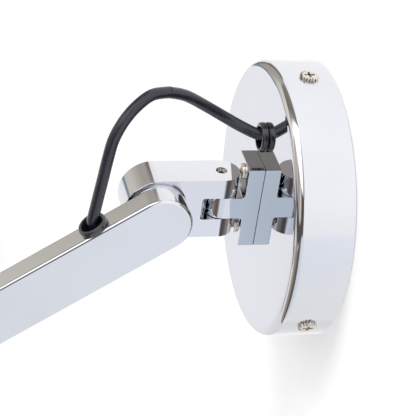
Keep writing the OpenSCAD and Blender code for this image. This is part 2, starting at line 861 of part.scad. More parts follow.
module bulb_cap() {
    low = -shade_drop - holder_below_top - holder_floor - contact_h - tip_h - cap_len;
    core_r = cap_d / 2 - cap_rib_r;
    color([0.82, 0.82, 0.8])
    in_head() translate([0, 0, low]) rotate_extrude() {
        square([core_r, cap_len]);
        for (k = [1 : cap_ribs]) translate([core_r, cap_len * k / (cap_ribs + 1)]) circle(cap_rib_r);
        polygon([[0, 0], [tip_d / 2, 0], [tip_d / 2, cap_len], [contact_d / 2, cap_len + tip_h],
            [0, cap_len + tip_h]]);
    }
}

module bulb_glass() {
    cap_low = -shade_drop - holder_below_top - holder_floor - contact_h - tip_h - cap_len;
    glass_low = -shade_drop - holder_below_top - holder_floor - contact_h - bulb_len;
    ball_z = glass_low + bulb_d / 2;
    color([0.95, 0.94, 0.9])
    in_head() rotate_extrude() {
        intersection() {
            translate([0, ball_z]) circle(bulb_d / 2);
            translate([0, glass_low]) square([bulb_d / 2, bulb_d]);
        }
        translate([0, ball_z]) square([glass_neck_d / 2, cap_low - ball_z]);
    }
}

module switch_body() {
    color([0.12, 0.12, 0.13])
    in_head() translate([0, -button_off, -shade_drop - shade_wall - switch_len]) difference() {
        cylinder(d = switch_d, h = switch_len);
        translate([0, 0, switch_len / 2]) cylinder(d = button_d + 2 * button_gap, h = switch_len);
    }
}

module switch_button() {
    low = -shade_drop - shade_wall - switch_len / 2 + button_travel + loose_gap;
    color([0.1, 0.1, 0.11])
    in_head() translate([0, -button_off, low]) rotate_extrude() {
        high = -shade_drop + button_up - low;
        square([button_d / 2 - button_edge_r, high]);
        square([button_d / 2, high - button_edge_r]);
        translate([button_d / 2 - button_edge_r, high - button_edge_r]) circle(button_edge_r);
    }
}

// Cord from the terminal block over to the top of its arch
module cord_wall_side() {
    color([0.12, 0.12, 0.13])
    tube_along(cord_route, 0, cord_parting);
}

// Cord from the top of its arch down into the inner arm
module cord_arm_side() {
    color([0.12, 0.12, 0.13])
    tube_along(cord_route, cord_parting, ends_at(cord_route));
}

canopy_cover();
wall_plate();
canopy_screws();
backing_plate();
terminal_block();
earth_screw();
canopy_grommet();
swivel_bracket();
bracket_screws();
swivel_block();
swivel_pin();
pin_grub_screw();
tilt_spacer();
tilt_washer();
tilt_bolt();
arm_1_body();
arm_1_cover();
arm_1_screws();
arm_1_grommet();
arm_1_clamp();
elbow_bolt();
elbow_washer();
elbow_spacer();
arm_2_body();
arm_2_cover();
arm_2_screws();
head_bolt();
head_washer();
head_spacer();
head_knuckle();
neck_sleeve();
head_tube();
tube_nut();
lampholder();
holder_contact();
shade();
bulb_glass();
bulb_cap();
switch_body();
switch_button();
cord_wall_side();
cord_arm_side();
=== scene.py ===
import json
import math

import bmesh
import bpy
from mathutils import Matrix, Vector


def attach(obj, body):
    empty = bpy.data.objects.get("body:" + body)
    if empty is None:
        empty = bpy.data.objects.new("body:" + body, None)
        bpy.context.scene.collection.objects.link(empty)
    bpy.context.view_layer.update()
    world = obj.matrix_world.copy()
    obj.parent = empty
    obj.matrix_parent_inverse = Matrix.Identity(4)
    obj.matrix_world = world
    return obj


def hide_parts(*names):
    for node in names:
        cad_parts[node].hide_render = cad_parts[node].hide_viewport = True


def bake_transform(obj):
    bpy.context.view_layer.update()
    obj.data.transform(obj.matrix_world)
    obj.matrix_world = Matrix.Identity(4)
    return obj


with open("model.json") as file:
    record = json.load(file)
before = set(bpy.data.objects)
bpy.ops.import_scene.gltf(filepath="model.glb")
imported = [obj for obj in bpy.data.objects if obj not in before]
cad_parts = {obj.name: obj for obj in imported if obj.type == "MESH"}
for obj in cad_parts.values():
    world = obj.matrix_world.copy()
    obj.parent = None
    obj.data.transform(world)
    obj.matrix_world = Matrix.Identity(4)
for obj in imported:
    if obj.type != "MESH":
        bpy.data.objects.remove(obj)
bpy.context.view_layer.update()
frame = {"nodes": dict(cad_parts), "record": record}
MM = 0.001

# Sizes in millimetres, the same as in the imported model. The canopy and what is on its rim
CANOPY_R, CANOPY_DEPTH, CANOPY_WALL, CANOPY_EDGE = 60, 25, 1.5, 4
CORD_HOLE_UP, CORD_HOLE_R = 31, 5
RIM_OUT, RIM_HEAD_R, RIM_HEAD_H, RIM_ANGLES = 10.5, 4, 1.4, (90, 210, 330)
# The swivel: the bracket's flange and tongue, the forked block and its pin
BLOCK_W, BLOCK_H, BLOCK_END_R = 16.2, 29, 14.4
FLANGE_H, FLANGE_T, TONGUE_H = 39, 7.2, 10.4
FACE_Y, PIN_Y, TILT_Y, BLOCK_END_Y = -25, -42, -70, -84.4
TONGUE_END_Y, SLOT_END_Y, SLOT_H, SLOT_CORNER, PIN_D = -40, -50.8, 10.7, 1, 4.8
BRACKET_SCREW_UP, BRACKET_HEAD_R, BRACKET_HEAD_H = 14, 3.4, 1.3
PIN_RECESS, EAR_MIDDLE, GRUB_HOLE_R = 1.2, 9.925, 1.52
# The shoulder bolts and the holes for them
BOLT_HOLE_R, BOLT_RECESS_R, BOLT_RECESS, BOLT_SEAT = 4.05, 7.3, 6.4, 5.3
BOLT_HEAD_R, BOLT_HEAD_H, BOLT_SOCKET_R, BOLT_SOCKET = 6.5, 4.2, 2.9, 2.6
SHOULDER_R, SHOULDER_LEN, THREAD_R, THREAD_LEN, THREAD_HOLE_R = 4, 13.4, 3, 7.3, 3.02
# The arms, their covers and the covers' screws, which stand at shares of the arm's length
ARM_H, ARM_T, ARM_EDGE, ARM_WALL, ARM_FRONT = 26, 11.6, 1.5, 2, 1.8
ARM_R = ARM_H / 2
BOSS_R, BOSS_FOOT, ELBOW_BOSS_TOP = 8, 0.5, 4.6
COVER_T, COVER_GAP, COVER_HOLE_R, COVER_SCREWS = 1.5, 0.15, 4.1, (0.3, 0.72)
COVER_SCREW_R, COVER_SCREW_HOLE_R, COVER_HEAD_R = 1.25, 1.4, 2.4
ARM_1_FRONT_X, ARM_2_FRONT_X = 20.7, 33.3
ARM_1_LEN, ARM_2_LEN, ARM_1_UP, ARM_2_UP = 220, 200, -34.6, 25
ELBOW_Y = TILT_Y - ARM_1_LEN * math.cos(math.radians(ARM_1_UP))
ELBOW_Z = ARM_1_LEN * math.sin(math.radians(ARM_1_UP))
CORD_HOLE_ALONG = 24.8
GROMMET_R, GROMMET_H = 6.4, 3
# The head
HEAD_X = 12.6
HEAD_Y = ELBOW_Y - ARM_2_LEN * math.cos(math.radians(ARM_2_UP))
HEAD_Z = ELBOW_Z + ARM_2_LEN * math.sin(math.radians(ARM_2_UP))
KNUCKLE_LOW, TUBE_THREAD_R, TUBE_HOLE_R = -24, 5.02, 5.15
SLEEVE_R, SLEEVE_GROOVES = 8, (-29, -37)
SHADE_DROP, NECK_R, NECK_LEN, MOUTH_R, SHADE_LEN, SHADE_WALL = 42, 23, 50, 60, 114, 1.2
SHOULDER_ROUND, LIP_R = 5, 1.4
SWITCH_OUT, SWITCH_HOLE_R, SWITCH_LOW, SWITCH_HIGH = 14, 3.2, -46.95, -37.5
HOLDER_R, HOLDER_LEN, HOLDER_BELOW, HOLDER_DOME = 19, 42, 16, 6
HOLDER_BORE_R, HOLDER_BORE_TOP, HOLDER_TUBE = 13.7, 8, 6
BULB_R, BULB_LEN, BULB_NECK_R = 22.5, 75, 12
CAP_R, CAP_LEN, CAP_TIP, CAP_TURNS = 12.4, 26, 2, 7
CORD_R, CORD_SIDES, CORD_STEPS = 2.5, 20, 6

# Route of the cord from the terminal block over its arch, then inside the inner arm: how far out
# along the arm from its joint, and how far up from the arm's middle
CORD_OUTSIDE = [
    (0, -12, 31), (0, -19, 31), (-0.5, -25, 31.5), (-2, -29.5, 32), (-4.5, -35.5, 34),
    (-6, -42.5, 37.5), (-5.5, -52, 43.5), (-4, -61, 49), (-1.5, -69, 52), (1.5, -76.5, 52.5),
    (5, -83, 49.5), (8.5, -88.5, 44.5), (11, -92.5, 37.5), (13, -94.5, 30), (14, -96, 20.5),
    (14.5, -97.5, 10),
]
CORD_INSIDE = [
    (23.5, 16.6), (24.2, 14.6), (25, 12.6), (25.8, 10.6), (27.2, 8.2), (29.8, 5.6), (33, 3.6),
    (37.5, 2.8), (43.6, 2.5),
]
# Points of the route at which the two lengths meet, and between which each of them bends
CORD_PARTING, CORD_WALL_BEND, CORD_ARM_BEND = 8, (2, 8), (8, 15)


def in_arm(out, up):
    tilt = math.radians(ARM_1_UP)
    return (ARM_1_FRONT_X - ARM_T / 2, TILT_Y - out * math.cos(tilt) + up * math.sin(tilt),
            out * math.sin(tilt) + up * math.cos(tilt))


CORD_ROUTE = CORD_OUTSIDE + [in_arm(*p) for p in CORD_INSIDE]


def add_object(name, data):
    thing = bpy.data.objects.new(name, data)
    bpy.context.scene.collection.objects.link(thing)
    return thing


# Camera

def place_camera():
    """The photograph's own view, worked out from measured points of the canopy and the arm."""
    azimuth, elevation, roll = (math.radians(a) for a in (72.91, 33.55, 8.6))
    aim = Vector((-1.57, -45.0, -6.03)) * MM
    distance = 0.6318
    ahead = Vector((-math.sin(azimuth) * math.cos(elevation),
                    math.cos(azimuth) * math.cos(elevation), -math.sin(elevation)))
    level = Vector((math.cos(azimuth), math.sin(azimuth), 0))
    up = level.cross(ahead)
    right = level * math.cos(roll) + up * math.sin(roll)
    top = up * math.cos(roll) - level * math.sin(roll)
    data = bpy.data.cameras.new("view")
    data.sensor_width, data.lens = 36, 125.56
    data.clip_start, data.clip_end = 0.1, 50
    camera = add_object("view", data)
    turn = Matrix((right, top, -ahead)).transposed().to_4x4()
    camera.matrix_world = Matrix.Translation(aim - ahead * distance) @ turn
    bpy.context.scene.camera = camera


place_camera()


# Shader sums

class Value:
    """A shader socket that can be used in sums."""

    def __init__(self, tree, out):
        self.tree, self.out = tree, out

    def sum(self, operation, *terms):
        return build(self.tree, "ShaderNodeMath", {"operation": operation}, dict(enumerate(terms)))

    def __add__(self, other):
        return self.sum("ADD", self, other)

    def __sub__(self, other):
        return self.sum("SUBTRACT", self, other)

    def __mul__(self, other):
        return self.sum("MULTIPLY", self, other)

    def __truediv__(self, other):
        return self.sum("DIVIDE", self, other)

    def __rsub__(self, other):
        return self.sum("SUBTRACT", other, self)

    def __rtruediv__(self, other):
        return self.sum("DIVIDE", other, self)

    __radd__, __rmul__ = __add__, __mul__


def build(tree, kind, settings=None, sockets=None, out=0):
    """Any node: first its settings, then numbers, colours or links for its sockets."""
    node = tree.nodes.new(kind)
    for name, value in (settings or {}).items():
        if name == "stops":
            while len(node.color_ramp.elements) < len(value):
                node.color_ramp.elements.new(0.5)
            for stop, (place, colour) in zip(node.color_ramp.elements, value):
                stop.position = place
                stop.color = (*colour, 1)
        else:
            setattr(node, name, value)
    for name, value in (sockets or {}).items():
        if isinstance(value, Value):
            tree.links.new(value.out, node.inputs[name])
        else:
            node.inputs[name].default_value = value
    return Value(tree, node.outputs[out])


def mix_colours(tree, share, a, b, blend="MIX"):
    """A mix of two colours. Its sockets are 0 for the share, 6 and 7 for the colours, and 2 out."""
    def opaque(colour):
        return colour if isinstance(colour, Value) else (*colour, 1)

    return build(tree, "ShaderNodeMix", {"data_type": "RGBA", "blend_type": blend},
                 {0: share, 6: opaque(a), 7: opaque(b)}, 2)


def step(tree, value, low, high, out_low=0, out_high=1):
    return build(tree, "ShaderNodeMapRange", {"interpolation_type": "SMOOTHSTEP"},
                 {"Value": value, "From Min": low, "From Max": high,
                  "To Min": out_low, "To Max": out_high})


def axes(tree, vector):
    """The three parts of a vector."""
    split = tree.nodes.new("ShaderNodeSeparateXYZ")
    tree.links.new(vector.out, split.inputs[0])
    return [Value(tree, out) for out in split.outputs]


def own_place(tree):
    return build(tree, "ShaderNodeTexCoord", out=3)


def noise(tree, place, scale, detail, rough=0.5, squeeze=(1, 1, 1)):
    where = build(tree, "ShaderNodeMapping", None, {"Vector": place, "Scale": squeeze})
    return build(tree, "ShaderNodeTexNoise", None,
                 {"Vector": where, "Scale": scale, "Detail": detail, "Roughness": rough})


def new_finish(name, **constants):
    """A material with a Principled shader, its tree, the shader and the object's coordinates."""
    material = bpy.data.materials.new(name)
    material.use_nodes = True
    tree = material.node_tree
    shader = tree.nodes["Principled BSDF"]
    for socket, value in constants.items():
        shader.inputs[socket.replace("_", " ")].default_value = value
    return material, tree, shader, own_place(tree)


def plug(tree, shader, **links):
    for socket, value in links.items():
        tree.links.new(value.out, shader.inputs[socket.replace("_", " ")])


def bump(tree, height, strength, distance=0.0001):
    return build(tree, "ShaderNodeBump", None,
                 {"Height": height, "Strength": strength, "Distance": distance})


# Finishes

def polished(name, tint, rough, wipe=0.02, ripple=0.0):
    """Mirror plating with a breath of wipe marks and an almost flat ripple from the wheel."""
    material, tree, shader, place = new_finish(name, Metallic=1.0)
    cloud = noise(tree, place, 22, 3)
    warm = tuple(c * 0.965 for c in tint)
    plug(tree, shader, Base_Color=mix_colours(tree, step(tree, cloud, 0.35, 0.7), tint, warm))
    smear = noise(tree, place, 60, 4, 0.6, (1, 0.25, 1))
    dust = step(tree, noise(tree, place, 900, 2), 0.66, 0.8)
    smeared = step(tree, smear, 0.45, 0.75, rough, rough + wipe)
    plug(tree, shader, Roughness=smeared + dust * 0.02)
    if ripple:
        plug(tree, shader, Normal=bump(tree, noise(tree, place, 45, 1), ripple, 0.0004))
    return material


def machined(name, tint, rough):
    """Turned or cut metal with fine tool marks and slightly darker patches at random."""
    material, tree, shader, place = new_finish(name, Metallic=1.0)
    grain = noise(tree, place, 700, 3, 0.6, (1, 1, 4))
    patch = noise(tree, place, 90, 3)
    darker = tuple(c * 0.8 for c in tint)
    plug(tree, shader, Base_Color=mix_colours(tree, step(tree, patch, 0.35, 0.7), tint, darker),
         Roughness=step(tree, grain, 0.3, 0.7, rough - 0.06, rough + 0.08),
         Normal=bump(tree, grain, 0.12))
    return material


def moulded(name, tint, rough, grain_size=1400, coat=0.0):
    """Plastic or rubber with a fine grain and a little dust on it."""
    material, tree, shader, place = new_finish(name, IOR=1.5, Coat_Weight=coat, Coat_Roughness=0.2)
    grain = noise(tree, place, grain_size, 2)
    patch = noise(tree, place, 120, 3)
    lighter = tuple(min(1, c * 1.12 + 0.006) for c in tint)
    plug(tree, shader, Base_Color=mix_colours(tree, step(tree, patch, 0.4, 0.7), tint, lighter),
         Roughness=step(tree, patch, 0.3, 0.7, rough - 0.04, rough + 0.05),
         Normal=bump(tree, grain, 0.1))
    return material


def cord_sheath():
    """Smooth flexible sheath: nearly black, with a faint shine and no printing."""
    material, tree, shader, place = new_finish("cord_sheath", IOR=1.5, Coat_Weight=0.25,
                                               Coat_Roughness=0.22)
    patch = noise(tree, place, 150, 3)
    colour = mix_colours(tree, step(tree, patch, 0.35, 0.7),
                         (0.008, 0.010, 0.020), (0.015, 0.018, 0.030))
    plug(tree, shader, Base_Color=colour, Roughness=step(tree, patch, 0.3, 0.7, 0.2, 0.28),
         Normal=bump(tree, noise(tree, place, 500, 2), 0.15))
    return material


def frosted_bulb():
    material, tree, shader, place = new_finish("bulb_glass", IOR=1.5, Coat_Weight=0.6,
                                               Coat_Roughness=0.05, Subsurface_Weight=0.25,
                                               Subsurface_Scale=0.004)
    patch = noise(tree, place, 80, 3)
    colour = mix_colours(tree, step(tree, patch, 0.3, 0.7), (0.9, 0.89, 0.85), (0.86, 0.85, 0.8))
    plug(tree, shader, Base_Color=colour, Roughness=step(tree, patch, 0.3, 0.7, 0.3, 0.4))
    return material


CHROME = (0.68, 0.70, 0.745)


def bracket_metal_painted_shade():
    """The bracket's plating with painted shade: the flange's upper end, which lies in the face's
    shade, is darkened in its colour.
    """
    material = polished("bracket_metal_painted_shade", CHROME, 0.02)
    tree = material.node_tree
    shader = tree.nodes["Principled BSDF"]
    height = axes(tree, own_place(tree))[2]
    plain = Value(tree, shader.inputs["Base Color"].links[0].from_socket)
    # Painted shade: the flange's upper end is mixed about a third of the way to black
    end = step(tree, height, (FLANGE_H / 2 - 0.3) * MM, (FLANGE_H / 2 - 0.05) * MM)
    plug(tree, shader, Base_Color=mix_colours(tree, end * 0.35, plain, (0, 0, 0)))
    return material


FINISH = {
    "polished_metal": polished("polished_metal", CHROME, 0.02),
    "canopy_metal": polished("canopy_metal", CHROME, 0.025),
    "arm_metal": polished("arm_metal", CHROME, 0.03, 0.03, 0.02),
    "warm_metal": polished("warm_metal", (0.66, 0.63, 0.58), 0.06, 0.05),
    "screw_nickel": machined("screw_nickel", (0.95, 0.90, 0.82), 0.3),
    "zinc_plate": machined("zinc_plate", (0.55, 0.56, 0.58), 0.36),
    "bolt_steel": machined("bolt_steel", (0.56, 0.56, 0.57), 0.26),
    "dark_steel": machined("dark_steel", (0.09, 0.09, 0.1), 0.42),
    "pin_steel": machined("pin_steel", (0.62, 0.56, 0.48), 0.2),
    "brass_parts": machined("brass_parts", (0.72, 0.52, 0.22), 0.28),
    "white_plastic": moulded("white_plastic", (0.82, 0.81, 0.75), 0.45),
    "black_plastic": moulded("black_plastic", (0.02, 0.02, 0.022), 0.42),
    "white_ceramic": moulded("white_ceramic", (0.84, 0.82, 0.76), 0.3, 300, 0.6),
    "black_rubber": moulded("black_rubber", (0.007, 0.007, 0.011), 0.2, 1400, 0.9),
    "cord_sheath": cord_sheath(),
    "bulb_glass": frosted_bulb(),
    # The bracket's plating, with painted shade on the flange's upper end
    "bracket_metal_painted_shade": bracket_metal_painted_shade(),
}


# Mesh tools, all in millimetres

MERGE, MERGE_CARVED = 0.0004, 0.0008


def mesh_of(bm, name):
    mesh = bpy.data.meshes.new(name)
    bm.to_mesh(mesh)
    bm.free()
    return mesh


def settle(bm, name, sharp):
    """Turns a bmesh in millimetres into an object in metres, with smooth faces and sharp edges."""
    bmesh.ops.remove_doubles(bm, verts=bm.verts, dist=MERGE)
    bmesh.ops.dissolve_degenerate(bm, edges=bm.edges, dist=MERGE)
    bmesh.ops.recalc_face_normals(bm, faces=bm.faces)
    bmesh.ops.scale(bm, vec=(MM, MM, MM), verts=bm.verts)
    mesh = mesh_of(bm, name)
    for polygon in mesh.polygons:
        polygon.use_smooth = True
    mesh.set_sharp_from_angle(angle=math.radians(sharp))
    return add_object(name, mesh)


def fit(bm, name, body, node, slot, finish=None, sharp=35):
    """Makes a piece with its finish, on the body that it rides on, in place of a CAD node."""
    piece = settle(bm, name, sharp)
    piece.data.materials.append(FINISH[finish or slot])
    even = piece.modifiers.new("even_shine", "WEIGHTED_NORMAL")
    even.keep_sharp = True
    even.weight = 100
    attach(piece, body)
    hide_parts(node)


def arc(cx, cy, r, start, end, steps):
    """Points on an arc, from one angle to the other in degrees."""
    angles = [math.radians(start + (end - start) * k / steps) for k in range(steps + 1)]
    return [(cx + r * math.cos(a), cy + r * math.sin(a)) for a in angles]


def turned(outline, steps):
    """Spins an outline of radius and height round the Z axis. One off the axis becomes a ring."""
    bm = bmesh.new()
    verts = [bm.verts.new((r, 0, z)) for r, z in outline]
    edges = [bm.edges.new(pair) for pair in zip(verts, verts[1:])]
    if outline[0][0] and outline[-1][0]:
        edges.append(bm.edges.new((verts[-1], verts[0])))
    bmesh.ops.spin(bm, geom=verts + edges, cent=(0, 0, 0), axis=(0, 0, 1), angle=2 * math.pi,
                   steps=steps, use_merge=True)
    bmesh.ops.remove_doubles(bm, verts=bm.verts, dist=MERGE)
    bmesh.ops.recalc_face_normals(bm, faces=bm.faces)
    return bm


def rounded(bm, edges, width, segments):
    bmesh.ops.bevel(bm, geom=edges, offset=width, offset_type="OFFSET", segments=segments,
                    profile=0.5, affect="EDGES", material=-1, clamp_overlap=True)
    return bm


def slab(outline, thick, rounding=0):
    """A flat outline given thickness upwards, with its long edges rounded."""
    bm = bmesh.new()
    face = bm.faces.new([bm.verts.new((x, y, 0)) for x, y in outline])
    made = bmesh.ops.extrude_face_region(bm, geom=[face])["geom"]
    top = [v for v in made if isinstance(v, bmesh.types.BMVert)]
    bmesh.ops.translate(bm, vec=(0, 0, thick), verts=top)
    bmesh.ops.recalc_face_normals(bm, faces=bm.faces)
    if rounding:
        rims = [e for e in bm.edges if abs(e.verts[0].co.z - e.verts[1].co.z) < thick / 2]
        rounded(bm, rims, rounding, 8)
    return bm


def soften(bm, width, segments=2):
    """Small rounding on every edge that turns by more than 40 degrees."""
    bmesh.ops.remove_doubles(bm, verts=bm.verts, dist=MERGE_CARVED)
    bmesh.ops.dissolve_limit(bm, angle_limit=math.radians(0.05), verts=bm.verts, edges=bm.edges)
    keen = [e for e in bm.edges
            if len(e.link_faces) == 2 and e.calc_face_angle(0) > math.radians(40)]
    return rounded(bm, keen, width, segments)


def rod(radius, low, high, steps=64, top_radius=None):
    """A plain cylinder or cone on the Z axis, used as a cutter or a core."""
    bm = bmesh.new()
    bmesh.ops.create_cone(bm, cap_ends=True, segments=steps, radius1=radius,
                          radius2=radius if top_radius is None else top_radius, depth=high - low)
    bmesh.ops.translate(bm, vec=(0, 0, (low + high) / 2), verts=bm.verts)
    return bm


def block(*spans):
    """A box between a low and a high place on each axis."""
    bm = bmesh.new()
    bmesh.ops.create_cube(bm, size=1)
    bmesh.ops.scale(bm, vec=[high - low for low, high in spans], verts=bm.verts)
    bmesh.ops.translate(bm, vec=[(low + high) / 2 for low, high in spans], verts=bm.verts)
    return bm


def moved(bm, matrix):
    bmesh.ops.transform(bm, matrix=matrix, verts=bm.verts)
    return bm


def joined(*parts):
    """Several separate shapes in one mesh."""
    whole = bmesh.new()
    for part in parts:
        mesh = mesh_of(part, "part")
        whole.from_mesh(mesh)
        bpy.data.meshes.remove(mesh)
    return whole


def carved(base, cuts=(), keeps=(), adds=()):
    """Adds shapes to a base, keeps only what lies in others, and cuts yet others from it."""
    def temporary(bm, name):
        bmesh.ops.recalc_face_normals(bm, faces=bm.faces)
        return add_object(name, mesh_of(bm, name))

    work = temporary(base, "work")
    tools = []
    for operation, shapes in (("UNION", adds), ("INTERSECT", keeps), ("DIFFERENCE", cuts)):
        for shape in shapes:
            tools.append(temporary(shape, "tool"))
            modifier = work.modifiers.new("carve", "BOOLEAN")
            modifier.operation = operation
            modifier.solver = "EXACT"
            modifier.object = tools[-1]
    bpy.context.view_layer.update()
    seen = work.evaluated_get(bpy.context.evaluated_depsgraph_get())
    done = bpy.data.meshes.new_from_object(seen)
    result = bmesh.new()
    result.from_mesh(done)
    for thing in [work] + tools:
        mesh = thing.data
        bpy.data.objects.remove(thing)
        bpy.data.meshes.remove(mesh)
    bpy.data.meshes.remove(done)
    return result


def spun(degrees, axis):
    return Matrix.Rotation(math.radians(degrees), 4, axis)


def at(x, y, z, turn=None):
    return Matrix.Translation((x, y, z)) @ (turn if turn is not None else Matrix())


# Turns that put in place what is drawn on the Z axis, and an outline that is drawn in Y and Z
FROM_WALL = spun(90, "X")
ALONG_X = spun(90, "Y")
SIDE_ON = Matrix(((0, 0, 1, 0), (1, 0, 0, 0), (0, 1, 0, 0), (0, 0, 0, 1)))
HALF_W = BLOCK_W / 2
# The hole for the cord in the inner arm's upper edge, the tilt joint, and the head's own joint
ARM_CORD_HOLE = at(CORD_HOLE_ALONG, ARM_R, ARM_T / 2, spun(-90, "X"))
TILT_JOINT = at(0, TILT_Y, 0) @ ALONG_X
HEAD = at(HEAD_X, HEAD_Y, HEAD_Z)


def on_rim(angle):
    return FROM_WALL @ spun(angle, "Z") @ Matrix.Translation((CANOPY_R, 0, RIM_OUT)) @ ALONG_X


def as_arm(front_x, y, z, up):
    """Puts an arm that is drawn flat in place: along X, its front face down at height 0."""
    return at(front_x, y, z) @ spun(-up, "X") @ spun(90, "X") @ spun(-90, "Y")


ARM_1 = as_arm(ARM_1_FRONT_X, TILT_Y, 0, ARM_1_UP)
ARM_2 = as_arm(ARM_2_FRONT_X, ELBOW_Y, ELBOW_Z, ARM_2_UP)


# Cord

def smooth_line(points):
    """Points on a smooth curve through the given ones."""
    pts = [Vector(p) for p in points]
    last = len(pts) - 1
    line = []
    for i in range(last):
        a, b, c, d = pts[max(i - 1, 0)], pts[i], pts[i + 1], pts[min(i + 2, last)]
        for k in range(CORD_STEPS):
            t = k / CORD_STEPS
            line.append(0.5 * ((2 * b) + (c - a) * t + (2 * a - 5 * b + 4 * c - d) * t * t
                               + (3 * b - a - 3 * c + d) * t * t * t))
    return line + [pts[-1]]


def tube_along(line):
    """Round tube along a line of close points, closed at both ends."""
    bm = bmesh.new()
    rings = []
    side = None
    for i, p in enumerate(line):
        ahead = (line[min(i + 1, len(line) - 1)] - line[max(i - 1, 0)]).normalized()
        side = ahead.cross(Vector((1, 0, 0)) if side is None else side.cross(ahead)).normalized()
        turn = Matrix((side, side.cross(ahead), ahead)).transposed().to_4x4()
        ring = bmesh.ops.create_circle(bm, segments=CORD_SIDES, radius=CORD_R)["verts"]
        bmesh.ops.transform(bm, matrix=Matrix.Translation(p) @ turn, verts=ring)
        rings.append(ring)
    for pair in zip(rings, rings[1:]):
        bmesh.ops.bridge_loops(bm, edges=[
            bm.edges.get((ring[k], ring[(k + 1) % CORD_SIDES]))
            for ring in pair for k in range(CORD_SIDES)])
    for ring in (rings[0], rings[-1]):
        bm.faces.new(ring)
    return bm


def make_cord():
    """The cord in two lengths that meet at the top of the arch.
    Near the upper limit of arm_tilt the blend flattens the arm's side, which is a known fault."""
    for name, points, bodies, bend in (
            ("cord_wall_side", CORD_ROUTE[:CORD_PARTING + 1], ("wall_base", "swivel"),
             CORD_WALL_BEND),
            ("cord_arm_side", CORD_ROUTE[CORD_PARTING:], ("swivel", "inner_arm"),
             CORD_ARM_BEND)):
        line = smooth_line(points)
        piece = settle(tube_along(line), name + "_sheath", 60)
        piece.data.materials.append(FINISH["cord_sheath"])
        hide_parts(name)
        path = [tuple(p * MM) for p in line]
        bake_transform(piece)


make_cord()


# Canopy

def make_canopy():
    edge_r, foot = CANOPY_R - CANOPY_EDGE, 0.3
    inner = CANOPY_EDGE - CANOPY_WALL / 2
    outline = [(0, CANOPY_DEPTH), (edge_r - 0.4, CANOPY_DEPTH)]
    outline += arc(edge_r, CANOPY_DEPTH - CANOPY_EDGE, CANOPY_EDGE, 90, 0, 14)
    outline += [(CANOPY_R, foot), (CANOPY_R - foot, 0), (CANOPY_R - CANOPY_WALL, 0)]
    outline += arc(CANOPY_R - CANOPY_WALL - inner, CANOPY_DEPTH - CANOPY_WALL - inner, inner,
                   0, 90, 6)
    outline += [(0, CANOPY_DEPTH - CANOPY_WALL)]
    hole = moved(rod(CORD_HOLE_R, CANOPY_DEPTH - 5, CANOPY_DEPTH + 5, 48), at(0, CORD_HOLE_UP, 0))
    shell = carved(turned(outline, 160), [hole])
    fit(moved(shell, FROM_WALL), "canopy_shell", "wall_base", "canopy_cover", "polished_metal",
        "canopy_metal")


def cross(head_r, top, width, depth):
    """Two crossed bars that are cut from a screw's head."""
    long, narrow = (-head_r * 0.55, head_r * 0.55), (-width / 2, width / 2)
    return [block(x, y, (top - depth, top + 1)) for x, y in ((long, narrow), (narrow, long))]


def serrated_head():
    """Round head with teeth on its rim and a low crown."""
    teeth, tooth, tooth_depth, crown_in, crown = 18, (0.0, 0.3, 1.0, 0.3), 0.15, 0.4, 0.25
    head = bmesh.new()
    ring = bmesh.ops.create_circle(head, segments=teeth * len(tooth), radius=RIM_HEAD_R,
                                   cap_ends=True)["verts"]
    for k, vert in enumerate(sorted(ring, key=lambda v: math.atan2(v.co.y, v.co.x))):
        vert.co *= 1 - tooth_depth * tooth[k % len(tooth)]
    made = bmesh.ops.extrude_face_region(head, geom=list(head.faces))["geom"]
    top = [v for v in made if isinstance(v, bmesh.types.BMVert)]
    bmesh.ops.translate(head, vec=(0, 0, RIM_HEAD_H - crown), verts=top)
    lids = [f for f in made if isinstance(f, bmesh.types.BMFace)]
    bmesh.ops.inset_region(head, faces=lids, thickness=crown_in, depth=crown,
                           use_even_offset=True)
    bmesh.ops.recalc_face_normals(head, faces=head.faces)
    return head


def make_rim_screws():
    """Thumb screws with serrated heads and a cross recess."""
    shank = [(0, 0.2), (2, 0.2), (2, -8.6), (1.6, -9), (0, -9)]
    parts = []
    for angle in RIM_ANGLES:
        head = carved(serrated_head(), cross(RIM_HEAD_R, RIM_HEAD_H, 1.0, 1.1))
        parts.append(moved(joined(head, turned(shank, 32)), on_rim(angle)))
    fit(joined(*parts), "rim_screws", "wall_base", "canopy_screws", "warm_metal", sharp=28)


def grommet(wall):
    """Rubber ring with a rounded flange, a neck through the wall and a bore with soft lips."""
    bore_r, neck_r, low, high, lip = 4.35, 4.9, 0.8, 1.1, 0.5
    outline = [(bore_r, -wall), (neck_r, -wall), (neck_r, 0)]
    outline += arc(GROMMET_R - low, low, low, -75, 0, 6)
    outline += arc(GROMMET_R - high, GROMMET_H - high, high, 0, 90, 8)
    outline += arc(4.8 + lip, GROMMET_H - lip, lip, 90, 180, 5) + [(4.4, 0.4)]
    return turned(outline, 64)


def make_grommets():
    on_face = FROM_WALL @ at(0, CORD_HOLE_UP, CANOPY_DEPTH)
    fit(moved(grommet(CANOPY_WALL), on_face), "canopy_ring", "wall_base", "canopy_grommet",
        "black_rubber", sharp=60)
    fit(moved(grommet(ARM_WALL), ARM_1 @ ARM_CORD_HOLE), "arm_ring", "inner_arm",
        "arm_1_grommet", "black_rubber", sharp=60)


# Swivel

